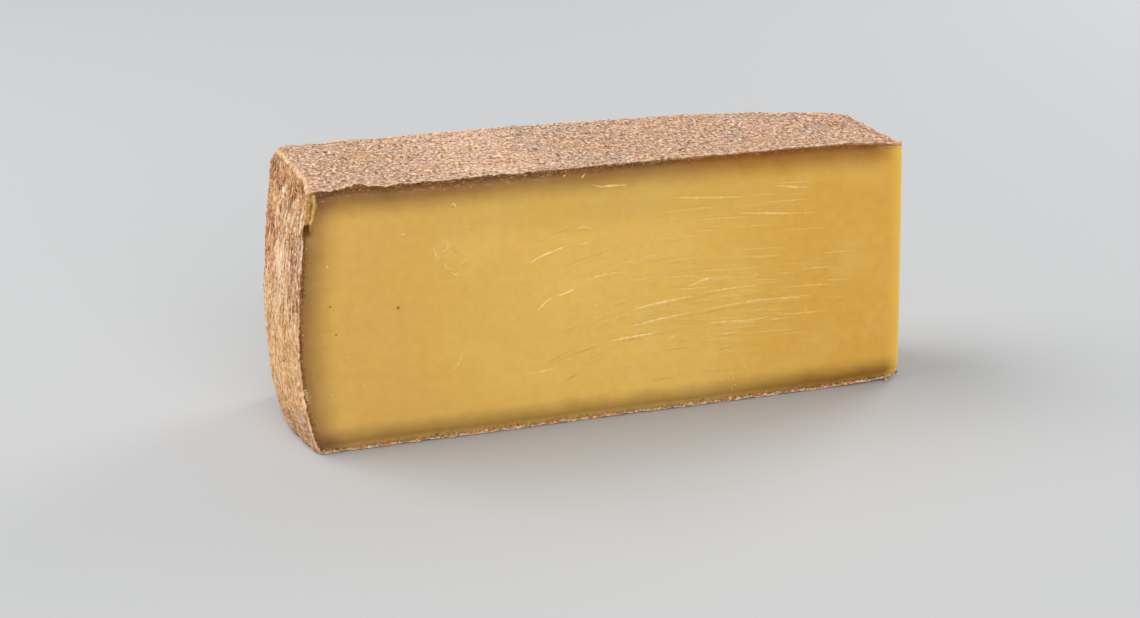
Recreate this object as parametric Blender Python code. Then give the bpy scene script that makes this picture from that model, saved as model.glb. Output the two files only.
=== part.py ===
"""A slab of hard, aged cheese with its rind on, cut from the rim of a large flat wheel.

The slab stands as it lay in the wheel. Rind covers the top, the bottom and the bulging heel at -X.
The knife made the front (-Y), the back (+Y) and the right end (+X). Metres, +Z up, resting on z = 0,
with the origin at the middle of the slab's footprint.

The slab starts as a box blank with loop cuts, close together along its edges. Its rind edges are
rounded, the whole is bent to the heel, the cuts and the sagging end, and the surface then gets the
rind's lumps, its chipped edges and the lips of rind that stand proud along each cut.
"""

import math

import bmesh
import bpy
from mathutils import Matrix, Vector, noise

MM = 0.001

# The wheel that the slab comes from
WHEEL_HEIGHT = 90 * MM
HEEL_BULGE = 5.7 * MM  # how far the heel swells out past its foot
HEEL_FULLNESS = 0.735  # under 1 sets the fullest point below mid-height
HEEL_ARC = 4.9 * MM  # how far the heel's foot swells out between the front cut and the back cut
HEEL_ARC_FADE = 1.4  # over 1 makes that swelling a slight hollow at the top edge
HEEL_OVERHANG = 0.3 * MM  # the top edge lies this much further out than the foot

# The knife's cuts
SLAB_LENGTH = 210 * MM  # along the foot of the front face
SLAB_DEPTH = 56 * MM
END_LEAN = 3.6 * MM  # the right end leans in by this much at its top
END_SKEW = 1.0 * MM  # and by this much from front to back
HEEL_SKEW = -1.3 * MM  # the heel runs out by this much from front to back
BACK_STRAIGHT = 77 * MM  # the back cut is straight this far from the heel, then curves in
BACK_CURVE_RADIUS = 515 * MM

# Edges
RIND_EDGE_RADIUS = 1.4 * MM
FOOT_EDGE_RADIUS = 1.2 * MM
CUT_EDGE_RADIUS = 0.6 * MM

# The sagging top at the right end, the foot's end, which stands clear, a swell in the top's front
# edge by the heel, and the slight curl all along that edge
END_SAG = 2.2 * MM
END_SAG_LENGTH = 38 * MM
FOOT_LIFT = 1.1 * MM
FOOT_LIFT_LENGTH = 30 * MM
SWELL = 0.7 * MM
SWELL_CENTRE = 16 * MM
SWELL_WIDTH = 10 * MM
CURL = 0.6 * MM
CURL_WIDTH = 8 * MM
NEAR_RIM = 3  # the power by which the sag, the swell, the curl and the lift fade with height

# Relief of the rind
LUMP = 0.45 * MM
LUMP_SIZE = 10 * MM
LUMP_FALLOFF = 0.6
LUMP_SCALE_STEP = 2.2
LUMP_LAYERS = 3
RIDGE = 0.7 * MM  # the heel's upright ridges
RIDGE_WIDTH = 6 * MM
RIDGE_LENGTH = 45 * MM
RIDGE_SEED = 7.0
BASE_MARGIN = 3.5 * MM  # the foot's rim, which rises a little, outside the flat base
BASE_RIM_LIFT = 0.35 * MM
BASE_LUMP_SHARE = 0.5

# The lip that the rind forms along the front and back cuts, the groove inside it, and the waves
# that the knife left in the cut faces
LIP = 0.35 * MM
LIP_HEIGHT = 1.5 * MM
LIP_RAGGED = 0.35 * MM
LIP_STEP = 6 * MM
GROOVE = 0.4 * MM
GROOVE_PLACE = 2.6 * MM
PASTE_WAVE = 0.3 * MM
PASTE_WAVE_SIZE = 40 * MM
PASTE_WAVE_SEED = Vector((3.0, 5.0, 1.0))

# Chips out of the rind's edge along the front: how far along, how high, their size and depth
HEEL_NOTCH = (0.0, 77 * MM, 6 * MM, 1.8 * MM)
HEEL_CHIP = (0.0, 24 * MM, 8 * MM, 1.0 * MM)
FOOT_CHIP = (SLAB_LENGTH, 0.0, 7 * MM, 1.3 * MM)
TOP_CHIP = (61 * MM, WHEEL_HEIGHT, 7 * MM, 0.8 * MM)
CHIPS = (HEEL_NOTCH, HEEL_CHIP, FOOT_CHIP, TOP_CHIP)

# Loop cuts: three close ones inside each edge, then even ones
EDGE_CUTS = (1.1 * MM, 2.4 * MM, 4.2 * MM)
SPACING_LENGTH = 3.9 * MM
SPACING_DEPTH = 3.7 * MM
SPACING_HEIGHT = 4.6 * MM
TOUCH = 0.01 * MM  # a point this near to a face of the blank lies on it

PASTE_COLOUR = (0.66, 0.42, 0.11, 1.0)
RIND_COLOUR = (0.43, 0.26, 0.16, 1.0)
PASTE_ROUGHNESS = 0.45
RIND_ROUGHNESS = 0.9


def clear_scene():
    for thing in list(bpy.data.objects):
        bpy.data.objects.remove(thing, do_unlink=True)


def finish(name, colour, roughness):
    material = bpy.data.materials.new(name)
    material.use_nodes = True
    shader = material.node_tree.nodes["Principled BSDF"]
    shader.inputs["Base Color"].default_value = colour
    shader.inputs["Roughness"].default_value = roughness
    shader.inputs["Metallic"].default_value = 0.0
    material.diffuse_color = colour
    return material


def bell(t):
    """A smooth bell: 1 at t = 0 and 0 from t = 1 outwards."""
    t = min(abs(t), 1.0)
    return 1.0 - t * t * (3.0 - 2.0 * t)


def stations(length, spacing):
    """Where the loop cuts go along one edge of the blank."""
    inner = EDGE_CUTS[-1]
    count = round((length - 2 * inner) / spacing)
    even = [inner + (length - 2 * inner) * i / count for i in range(1, count)]
    return [*EDGE_CUTS, *even, *(length - cut for cut in EDGE_CUTS)]


def blank():
    """The box blank with one corner at the origin, with its loop cuts."""
    size = Vector((SLAB_LENGTH, SLAB_DEPTH, WHEEL_HEIGHT))
    half = Matrix.Translation((0.5, 0.5, 0.5))
    mesh = bmesh.new()
    bmesh.ops.create_cube(mesh, size=1.0)
    bmesh.ops.transform(mesh, matrix=half, verts=mesh.verts)
    bmesh.ops.scale(mesh, vec=size, verts=mesh.verts)
    spacings = (SPACING_LENGTH, SPACING_DEPTH, SPACING_HEIGHT)
    for axis, (length, spacing) in enumerate(zip(size, spacings)):
        for place in stations(length, spacing):
            point, normal = Vector((0, 0, 0)), Vector((0, 0, 0))
            point[axis] = place
            normal[axis] = 1.0
            everything = [*mesh.verts, *mesh.edges, *mesh.faces]
            bmesh.ops.bisect_plane(mesh, geom=everything, plane_co=point, plane_no=normal)
    return mesh


def on_blank(vertex):
    """The vertex's x, y and z, put exactly on each face of the blank that it lies on."""
    place = []
    for value, length in zip(vertex.co, (SLAB_LENGTH, SLAB_DEPTH, WHEEL_HEIGHT)):
        if value < TOUCH:
            value = 0.0
        if value > length - TOUCH:
            value = length
        place.append(value)
    return place


def rounded(a, b, radius):
    """Moves a point that is a and b from the two faces of an edge onto the edge's arc."""
    if a >= radius or b >= radius or min(a, b) > 0:
        return a, b
    across, along = (radius - a) / radius, (radius - b) / radius
    reach = math.hypot(across, along)
    return radius - radius * across / reach, radius - radius * along / reach


def round_edges(x, y, z):
    """Rounds the heel's top and foot edges, and breaks the four upright edges."""
    x, foot_gap = rounded(x, z, FOOT_EDGE_RADIUS)
    x, top_gap = rounded(x, WHEEL_HEIGHT - z, RIND_EDGE_RADIUS)
    z = foot_gap if z < WHEEL_HEIGHT / 2 else WHEEL_HEIGHT - top_gap
    end_gap = SLAB_LENGTH - x
    at_front = y < SLAB_DEPTH / 2
    gap = y if at_front else SLAB_DEPTH - y
    if end_gap < x:
        end_gap, gap = rounded(end_gap, gap, CUT_EDGE_RADIUS)
        x = SLAB_LENGTH - end_gap
    else:
        x, gap = rounded(x, gap, CUT_EDGE_RADIUS)
    y = gap if at_front else SLAB_DEPTH - gap
    return x, y, z


def heel_edge(back, up):
    """The heel's x at a share of the depth and of the height."""
    bulge = HEEL_BULGE * math.sin(math.pi * up**HEEL_FULLNESS)
    arc = HEEL_ARC * (1.0 - HEEL_ARC_FADE * up) * (1.0 - (2.0 * back - 1.0) ** 2)
    return HEEL_SKEW * back - bulge - arc - HEEL_OVERHANG * up


def end_edge(back, up):
    """The right end's x at a share of the depth and of the height."""
    return SLAB_LENGTH - END_LEAN * up - END_SKEW * back


def back_cut(x):
    """The back face's y."""
    past = max(x - BACK_STRAIGHT, 0.0)
    return SLAB_DEPTH - past**2 / (2 * BACK_CURVE_RADIUS)


def near_end(x, length):
    """0 up to this length from the right end, then a curve up to 1 at the end."""
    return max(1.0 - (SLAB_LENGTH - x) / length, 0.0) ** 2


def bend(x, y, z):
    """Takes a point of the rounded blank to its place in the slab."""
    along, back, up = x / SLAB_LENGTH, y / SLAB_DEPTH, z / WHEEL_HEIGHT
    left, right = heel_edge(back, up), end_edge(back, up)
    slab_x = left + (right - left) * along
    sag = END_SAG * near_end(x, END_SAG_LENGTH) * up**NEAR_RIM
    swell = SWELL * bell((x - SWELL_CENTRE) / SWELL_WIDTH) * bell(back) * up**NEAR_RIM
    curl = CURL * bell(y / CURL_WIDTH) * up**NEAR_RIM
    lift = FOOT_LIFT * near_end(x, FOOT_LIFT_LENGTH) * (1.0 - up) ** NEAR_RIM
    return Vector((slab_x, back * back_cut(slab_x), z - sag + swell + curl + lift))


def lip(gap, place):
    """How far the skin stands proud of a cut, gap away from the rind's edge."""
    ragged = LIP_RAGGED * noise.noise(place / LIP_STEP)
    proud = (LIP + ragged) * bell(gap / LIP_HEIGHT)
    groove = GROOVE * bell((gap - GROOVE_PLACE) / LIP_HEIGHT)
    return proud - groove


def chipped(x, z):
    """How deep the front edge of the rind is chipped at x and z of the blank."""
    depths = [depth * bell(math.hypot(x - at_x, z - at_z) / size) for at_x, at_z, size, depth in CHIPS]
    return sum(depths)


def rind_lumps(place):
    return LUMP * noise.fractal(place / LUMP_SIZE, LUMP_FALLOFF, LUMP_SCALE_STEP, LUMP_LAYERS)


def relief(x, y, z, place):
    """The offset that gives the skin at x, y, z of the blank its lumps, ridges, lips and chips."""
    move = Vector((0.0, 0.0, 0.0))
    lumps = rind_lumps(place)
    if z == WHEEL_HEIGHT:
        move.z += lumps
    if z == 0.0:
        inset = min(x, y, SLAB_LENGTH - x, SLAB_DEPTH - y)
        move.z += bell(inset / BASE_MARGIN) * (BASE_RIM_LIFT + BASE_LUMP_SHARE * abs(lumps))
    if x == 0.0:
        streak = Vector((place.y / RIDGE_WIDTH, place.z / RIDGE_LENGTH, RIDGE_SEED))
        move.x += lumps + RIDGE * noise.noise(streak)
    wave = PASTE_WAVE * noise.noise(place / PASTE_WAVE_SIZE + PASTE_WAVE_SEED)
    top_gap = WHEEL_HEIGHT - z
    if y == 0.0:
        move.y += chipped(x, z) - wave - lip(min(x, z, top_gap), place)
    if y == SLAB_DEPTH:
        move.y += wave + lip(min(x, z, top_gap), place)
    if x == SLAB_LENGTH:
        move.x += wave
    return move


def shape(mesh):
    for vertex in mesh.verts:
        x, y, z = on_blank(vertex)
        place = bend(*round_edges(x, y, z))
        vertex.co = place + relief(x, y, z, place)


def stand_on_origin(mesh):
    """Moves the slab so that its box stands on z = 0 with the origin at the base's middle."""
    low = Vector([min(v.co[axis] for v in mesh.verts) for axis in range(3)])
    high = Vector([max(v.co[axis] for v in mesh.verts) for axis in range(3)])
    middle = (low + high) / 2
    middle.z = low.z
    bmesh.ops.translate(mesh, vec=-middle, verts=mesh.verts)


def mark_rind(mesh):
    """Gives slot 1 to the faces of the blank that are rind: its top, its bottom and its heel."""
    for face in mesh.faces:
        face.smooth = True
        facing_x, _, facing_z = (round(share) for share in face.normal)
        face.material_index = 1 if facing_z or facing_x < 0 else 0


def cheese_slab(collection):
    mesh = blank()
    mesh.normal_update()
    mark_rind(mesh)
    shape(mesh)
    stand_on_origin(mesh)
    bmesh.ops.recalc_face_normals(mesh, faces=mesh.faces)
    data = bpy.data.meshes.new("cheese_slab")
    mesh.to_mesh(data)
    mesh.free()
    data.materials.append(finish("paste", PASTE_COLOUR, PASTE_ROUGHNESS))
    data.materials.append(finish("rind", RIND_COLOUR, RIND_ROUGHNESS))
    slab = bpy.data.objects.new("cheese_slab", data)
    collection.objects.link(slab)


def main():
    clear_scene()
    collection = bpy.data.collections.new("cheese")
    bpy.context.scene.collection.children.link(collection)
    cheese_slab(collection)


main()
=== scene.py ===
"""The finish of a slab of hard, aged cheese: its grainy rind, its cut paste, crumbs and knife marks.

The slab's form repeats the sizes of its solid. It is worked out on a square blank whose front foot
corner at the heel is the origin, bent to the slab's shape and then moved to the frame. Metres, +Z up.
Rind covers the top, the heel at -X and the foot. The front, the back and the right end are cut paste.
"""

import math
import random

import bmesh
import bpy
import numpy as np
from mathutils import Euler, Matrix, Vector, noise


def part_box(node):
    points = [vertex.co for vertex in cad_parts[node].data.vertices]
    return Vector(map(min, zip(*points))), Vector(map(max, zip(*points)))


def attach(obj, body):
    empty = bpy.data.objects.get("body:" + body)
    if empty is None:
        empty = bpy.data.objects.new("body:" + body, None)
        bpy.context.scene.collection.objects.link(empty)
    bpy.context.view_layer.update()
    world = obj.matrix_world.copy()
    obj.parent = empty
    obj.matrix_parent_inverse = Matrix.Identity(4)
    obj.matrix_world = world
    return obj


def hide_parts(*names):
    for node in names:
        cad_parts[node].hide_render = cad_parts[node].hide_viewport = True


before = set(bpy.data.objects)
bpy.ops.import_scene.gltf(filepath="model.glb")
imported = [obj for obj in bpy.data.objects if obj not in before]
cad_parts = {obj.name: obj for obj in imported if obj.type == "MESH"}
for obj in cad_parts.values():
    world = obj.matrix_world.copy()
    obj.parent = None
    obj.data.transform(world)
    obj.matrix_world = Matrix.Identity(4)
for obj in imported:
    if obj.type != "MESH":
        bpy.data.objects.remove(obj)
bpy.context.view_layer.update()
SLAB_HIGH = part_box("cheese_slab")[1]

MM = 0.001

# The wheel and the cuts
WHEEL_HEIGHT = 90 * MM
HEEL_BULGE = 5.7 * MM
HEEL_FULLNESS = 0.735
HEEL_ARC = 4.9 * MM
HEEL_ARC_FADE = 1.4
HEEL_OVERHANG = 0.3 * MM
SLAB_LENGTH = 210 * MM
SLAB_DEPTH = 56 * MM
END_LEAN = 3.6 * MM
END_SKEW = 1.0 * MM
HEEL_SKEW = -1.3 * MM
BACK_STRAIGHT = 77 * MM
BACK_CURVE_RADIUS = 515 * MM
RIND_EDGE_RADIUS = 1.4 * MM
FOOT_EDGE_RADIUS = 1.2 * MM
CUT_EDGE_RADIUS = 0.6 * MM
END_SAG = 2.2 * MM
END_SAG_LENGTH = 38 * MM
FOOT_LIFT = 1.1 * MM
FOOT_LIFT_LENGTH = 30 * MM
SWELL = 0.7 * MM
SWELL_CENTRE = 16 * MM
SWELL_WIDTH = 10 * MM
CURL = 0.6 * MM
CURL_WIDTH = 8 * MM
NEAR_RIM = 3

# The large relief, as on the solid
LUMP = 0.45 * MM
LUMP_SIZE = 10 * MM
LUMP_FALLOFF = 0.6
LUMP_SCALE_STEP = 2.2
LUMP_LAYERS = 3
RIDGE = 0.7 * MM
RIDGE_WIDTH = 6 * MM
RIDGE_LENGTH = 45 * MM
RIDGE_SEED = 7.0
BASE_MARGIN = 3.5 * MM
BASE_RIM_LIFT = 0.35 * MM
BASE_LUMP_SHARE = 0.5
LIP = 0.35 * MM
LIP_HEIGHT = 1.5 * MM
LIP_RAGGED = 0.35 * MM
LIP_STEP = 6 * MM
GROOVE = 0.4 * MM
GROOVE_PLACE = 2.6 * MM
PASTE_WAVE = 0.3 * MM
PASTE_WAVE_SIZE = 40 * MM
PASTE_WAVE_SEED = Vector((3.0, 5.0, 1.0))
HEEL_NOTCH = (0.0, 77 * MM, 6 * MM, 1.8 * MM)
HEEL_CHIP = (0.0, 24 * MM, 8 * MM, 1.0 * MM)
FOOT_CHIP = (SLAB_LENGTH, 0.0, 7 * MM, 1.3 * MM)
TOP_CHIP = (61 * MM, WHEEL_HEIGHT, 7 * MM, 0.8 * MM)
CHIPS = (HEEL_NOTCH, HEEL_CHIP, FOOT_CHIP, TOP_CHIP)

# The rind's mesh: counts of faces, all multiples of BACKING_STEP, which thins its hidden backing
TOP_COUNT = 380
HEEL_COUNT = 164
FOOT_COUNT = 208
ACROSS_COUNT = 104
BACKING_STEP = 4
EDGE_BLEND = 1.6 * MM  # how far the relief of one face of the rind reaches round an edge

# The rind's cut rim, row by row: how deep in the rind, and how far in from the cut where it gapes
RIM_ROWS = ((0.22 * MM, 0.0), (0.5 * MM, 0.2 * MM), (0.9 * MM, 0.8 * MM), (1.6 * MM, 1.8 * MM))
RIM_SHUT = 0.25  # the share of that distance where the rind doesn't gape
BACKING_DEPTH = 2.4 * MM
BACKING_INSET = 2.6 * MM

# The rind's fine relief
GRAIN = 0.2 * MM
TOP_GRAIN_SIZE = Vector((1.2, 1.7, 1.3)) * MM
HEEL_GRAIN_SIZE = Vector((1.2, 1.2, 2.4)) * MM
FIBRE = 0.5 * MM  # the heel's upright fibres, which are strongest in its upper half
FIBRE_SIZE = Vector((3.0, 1.3, 14.0)) * MM
FIBRE_LOW = 30 * MM
FIBRE_HIGH = 62 * MM
FIBRE_SHARE_BELOW = 0.35
PEBBLE_MIDDLE = 0.35
ROUGH_SHARE = 0.7
ROUGH_FINENESS = 1.4
BLOTCH = 0.16 * MM
BLOTCH_SIZE = 4.5 * MM
CRUMBLE = 0.38 * MM
CRUMBLE_SIZE = 1.3 * MM
CRUMBLE_REACH = 1.3 * MM
CRUMBLE_SEED = 9

# The pale wear along the rind's cut edges and the heel's top corner
CUT_WEAR_REACH = 0.9 * MM
CORNER_WEAR_REACH = 1.7 * MM
WEAR_SHARE = 0.75
WEAR_PATCHES = 0.9
WEAR_STEP = 1.6 * MM

# The heel's far top corner, which is worn down
WORN_CORNER = Vector((0.0, SLAB_DEPTH, WHEEL_HEIGHT))
WORN_REACH = 5.5 * MM
WORN_MOVE = Vector((1.1, -0.4, -0.7)) * MM

# The paste's mesh
PASTE_MARGIN = 0.9 * MM
PASTE_STEP_ALONG = 1.2 * MM
PASTE_STEP_ACROSS = 3.0 * MM
PASTE_STEP_UP = 0.8 * MM
FINE_STEPS = (0.0, 0.25, 0.5, 0.8, 1.1, 1.5, 1.9, 2.4, 3.0, 3.8)
CUT_STEPS = (0.0, 0.15, 0.35, 0.6, 1.0, 1.7)

# The gap that opens in patches between rind and paste: how deep the paste has shrunk, and where
GAPE_DEPTH = 1.7 * MM
GAPE_REACH = 1.1 * MM
GAPE_BESIDE = 3 * GAPE_REACH
GAPE_STEP = 7 * MM
GAPE_SHARE = 0.3
GAPE_PATCHES = 1.5
HEEL_GAPE_CENTRE = 47 * MM
HEEL_GAPE_REACH = 36 * MM
TOP_GAPE = 0.6
FOOT_GAPE = 0.12
# The gaps and the hole get painted shade, which darkens as the gap deepens
PAINTED_SHADE_GAIN = 1.6  # how soon the gap turns dark as it deepens

# By the heel's top: a hole, a trough above it and a flap of paste beside them, in mm on the blank
HOLE = ((1.6, 77.9), (1.7, 75.6))
HOLE_WIDTH = 1.15
HOLE_DEPTH = 2.6 * MM
TROUGH = ((0.9, 88.2), (0.8, 84.0), (0.9, 79.0))
TROUGH_WIDTH = 1.1
TROUGH_DEPTH = 0.5 * MM
FLAP = ((2.2, 88.6), (2.6, 86.0), (2.4, 82.8), (2.1, 79.2), (2.1, 77.0))
FLAP_WIDTH = 1.0
FLAP_HEIGHT = 0.55 * MM
TEAR_STEP = 1.5 * MM
TEAR_RAGGED = 0.9

# The waves that the knife dragged into the cut faces
DRAG_WAVE = 0.07 * MM
DRAG_WAVE_SIZE = Vector((26.0, 8.0, 2.4)) * MM


def bell(t):
    """A smooth bell: 1 at t = 0 and 0 from t = 1 outwards."""
    t = min(abs(t), 1.0)
    return 1.0 - t * t * (3.0 - 2.0 * t)


def slope(t):
    """A smooth step from 0 at t = 0 to 1 at t = 1."""
    t = min(max(t, 0.0), 1.0)
    return t * t * (3.0 - 2.0 * t)


def away(u, v, path):
    """How far the point u, v lies from a path of points."""
    nearest = math.inf
    for (au, av), (bu, bv) in zip(path, path[1:]):
        du, dv = bu - au, bv - av
        share = ((u - au) * du + (v - av) * dv) / (du * du + dv * dv)
        share = min(max(share, 0.0), 1.0)
        nearest = min(nearest, math.hypot(u - au - share * du, v - av - share * dv))
    return nearest


# The slab's form


def rounded(a, b, radius):
    """Moves a point that is a and b from the two faces of an edge onto the edge's arc."""
    if a >= radius or b >= radius or min(a, b) > 0:
        return a, b
    across, along = (radius - a) / radius, (radius - b) / radius
    reach = math.hypot(across, along)
    return radius - radius * across / reach, radius - radius * along / reach


def round_edges(x, y, z):
    """Rounds the heel's top and foot edges, and breaks the four upright edges."""
    x, foot_gap = rounded(x, z, FOOT_EDGE_RADIUS)
    x, top_gap = rounded(x, WHEEL_HEIGHT - z, RIND_EDGE_RADIUS)
    z = foot_gap if z < WHEEL_HEIGHT / 2 else WHEEL_HEIGHT - top_gap
    end_gap = SLAB_LENGTH - x
    at_front = y < SLAB_DEPTH / 2
    gap = y if at_front else SLAB_DEPTH - y
    if end_gap < x:
        end_gap, gap = rounded(end_gap, gap, CUT_EDGE_RADIUS)
        x = SLAB_LENGTH - end_gap
    else:
        x, gap = rounded(x, gap, CUT_EDGE_RADIUS)
    y = gap if at_front else SLAB_DEPTH - gap
    return x, y, z


def heel_edge(back, up):
    """The heel's x at a share of the depth and of the height."""
    up = min(max(up, 0.0), 1.0)
    bulge = HEEL_BULGE * math.sin(math.pi * up**HEEL_FULLNESS)
    arc = HEEL_ARC * (1.0 - HEEL_ARC_FADE * up) * (1.0 - (2.0 * back - 1.0) ** 2)
    return HEEL_SKEW * back - bulge - arc - HEEL_OVERHANG * up


def end_edge(back, up):
    """The right end's x at a share of the depth and of the height."""
    return SLAB_LENGTH - END_LEAN * up - END_SKEW * back


def back_cut(x):
    """The back face's y."""
    past = max(x - BACK_STRAIGHT, 0.0)
    return SLAB_DEPTH - past**2 / (2 * BACK_CURVE_RADIUS)


def near_end(x, length):
    """0 up to this length from the right end, then a curve up to 1 at the end."""
    return max(1.0 - (SLAB_LENGTH - x) / length, 0.0) ** 2


def bend(x, y, z):
    """Takes a point of the rounded blank to its place in the slab."""
    along, back, up = x / SLAB_LENGTH, y / SLAB_DEPTH, z / WHEEL_HEIGHT
    left, right = heel_edge(back, up), end_edge(back, up)
    slab_x = left + (right - left) * along
    sag = END_SAG * near_end(x, END_SAG_LENGTH) * up**NEAR_RIM
    swell = SWELL * bell((x - SWELL_CENTRE) / SWELL_WIDTH) * bell(back) * up**NEAR_RIM
    curl = CURL * bell(y / CURL_WIDTH) * up**NEAR_RIM
    lift = FOOT_LIFT * near_end(x, FOOT_LIFT_LENGTH) * (1.0 - up) ** NEAR_RIM
    return Vector((slab_x, back * back_cut(slab_x), z - sag + swell + curl + lift))


def unbend(slab_x, z, back):
    """The blank's x at a slab_x of the bent front (back 0) or back (back 1) face."""
    left, right = heel_edge(back, z / WHEEL_HEIGHT), end_edge(back, z / WHEEL_HEIGHT)
    return (slab_x - left) / (right - left) * SLAB_LENGTH


def lip(gap, place):
    """How far the skin stands proud of a cut, gap away from the rind's edge."""
    ragged = LIP_RAGGED * noise.noise(place / LIP_STEP)
    proud = (LIP + ragged) * bell(gap / LIP_HEIGHT)
    groove = GROOVE * bell((gap - GROOVE_PLACE) / LIP_HEIGHT)
    return proud - groove


def chipped(x, z):
    """How deep the front edge of the rind is chipped at x and z of the blank."""
    depths = [depth * bell(math.hypot(x - at_x, z - at_z) / size) for at_x, at_z, size, depth in CHIPS]
    return sum(depths)


def paste_wave(place):
    """How far the cut faces swell or sink at a place."""
    return PASTE_WAVE * noise.noise(place / PASTE_WAVE_SIZE + PASTE_WAVE_SEED)


def large_relief(x, y, z, gap, place):
    """The solid's own relief, blended round the edges. gap is the distance from the rind's face."""
    move = Vector((0.0, 0.0, 0.0))
    lumps = LUMP * noise.fractal(place / LUMP_SIZE, LUMP_FALLOFF, LUMP_SCALE_STEP, LUMP_LAYERS)
    on_skin = bell(gap / EDGE_BLEND)
    move.z += lumps * on_skin * bell((WHEEL_HEIGHT - z) / EDGE_BLEND)
    if z == 0.0:
        inset = min(x, y, SLAB_LENGTH - x, SLAB_DEPTH - y)
        move.z += bell(inset / BASE_MARGIN) * (BASE_RIM_LIFT + BASE_LUMP_SHARE * abs(lumps))
    streak = Vector((place.y / RIDGE_WIDTH, place.z / RIDGE_LENGTH, RIDGE_SEED))
    ridges = lumps + RIDGE * noise.noise(streak)
    move.x += ridges * on_skin * bell(x / EDGE_BLEND)
    cut = paste_wave(place) + lip(gap, place)
    move.y += (chipped(x, z) - cut) * bell(y / EDGE_BLEND)
    move.y += cut * bell((SLAB_DEPTH - y) / EDGE_BLEND)
    move.x += paste_wave(place) * bell((SLAB_LENGTH - x) / EDGE_BLEND)
    return move + WORN_MOVE * bell((Vector((x, y, z)) - WORN_CORNER).length / WORN_REACH)


def gape(x, z, place):
    """How wide the rind has parted from the paste along a cut, from 0 to about 1."""
    patchy = GAPE_SHARE + GAPE_PATCHES * noise.noise(place / GAPE_STEP)
    by_heel = bell((z - HEEL_GAPE_CENTRE) / HEEL_GAPE_REACH) * bell(x / GAPE_BESIDE)
    by_top = TOP_GAPE * bell((WHEEL_HEIGHT - z) / GAPE_BESIDE)
    by_foot = FOOT_GAPE * bell(z / GAPE_BESIDE)
    return max(patchy, 0.0) * max(by_heel, by_top, by_foot)


def to_frame(place):
    """Moves a place from the blank's origin to the frame's."""
    return Vector((place.x + SLAB_HIGH.x - SLAB_LENGTH, place.y - SLAB_DEPTH / 2, place.z))


def new_piece(name, points, faces, smooth_angle):
    """A mesh object from places in the frame."""
    mesh = bpy.data.meshes.new(name)
    mesh.from_pydata([tuple(point) for point in points], [], faces)
    mesh.validate()
    mesh.shade_smooth()
    mesh.set_sharp_from_angle(angle=math.radians(smooth_angle))
    piece = bpy.data.objects.new(name, mesh)
    bpy.context.scene.collection.objects.link(piece)
    return piece


def keep_values(piece, name, values, kind="FLOAT"):
    """Stores one value, or one vector, for each point of the piece's mesh."""
    layer = piece.data.attributes.new(name, kind, "POINT")
    key = "value" if kind == "FLOAT" else "vector"
    layer.data.foreach_set(key, np.asarray(values, dtype=np.float32).ravel())


# The rind


def profile_stations():
    """The blank's outline seen from the front: the top from its right end, the heel and the foot."""
    top = [(SLAB_LENGTH * (1 - i / TOP_COUNT), WHEEL_HEIGHT) for i in range(TOP_COUNT)]
    heel = [(0.0, WHEEL_HEIGHT * (1 - i / HEEL_COUNT)) for i in range(HEEL_COUNT)]
    foot = [(SLAB_LENGTH * i / FOOT_COUNT, 0.0) for i in range(FOOT_COUNT + 1)]
    return top + heel + foot


def stretched(place, sizes):
    """A place divided by a grain size along each axis."""
    return Vector([part / size for part, size in zip(place, sizes)])


def grain_height(x, z, place):
    """The height of the rind's grain, about -1 to 1: pebbly on top, fibrous at the heel."""
    at_heel = bell(x / EDGE_BLEND) * slope(z / EDGE_BLEND)
    cell = stretched(place, TOP_GRAIN_SIZE.lerp(HEEL_GRAIN_SIZE, at_heel))
    nearest = noise.voronoi(cell)[0]
    height = nearest[1] - nearest[0] - PEBBLE_MIDDLE
    height += ROUGH_SHARE * noise.noise(cell * ROUGH_FINENESS)
    height += noise.noise(place / BLOTCH_SIZE) * BLOTCH / GRAIN
    if at_heel > 0:
        fibre = noise.fractal(stretched(place, FIBRE_SIZE), LUMP_FALLOFF, LUMP_SCALE_STEP, LUMP_LAYERS)
        share = slope((z - FIBRE_LOW) / (FIBRE_HIGH - FIBRE_LOW))
        share = FIBRE_SHARE_BELOW + (1 - FIBRE_SHARE_BELOW) * share
        height += at_heel * fibre * share * FIBRE / GRAIN
    return height


def outward(x, z):
    """Which way the rind faces at x and z of the blank."""
    way = Vector((-bell(x / EDGE_BLEND), 0.0, 0.0))
    way.z = bell((WHEEL_HEIGHT - z) / EDGE_BLEND) - bell(z / EDGE_BLEND)
    return way.normalized() if way.length > 0 else way


def worn(x, y, z, place):
    """How worn and pale the skin is near its edges, from 0 to 1."""
    by_cut = bell(min(y, SLAB_DEPTH - y, SLAB_LENGTH - x) / CUT_WEAR_REACH)
    by_corner = bell(math.hypot(x, WHEEL_HEIGHT - z) / CORNER_WEAR_REACH)
    uneven = WEAR_SHARE + WEAR_PATCHES * noise.noise(place / WEAR_STEP)
    return min(max(by_cut, by_corner) * uneven, 1.0)


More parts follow.
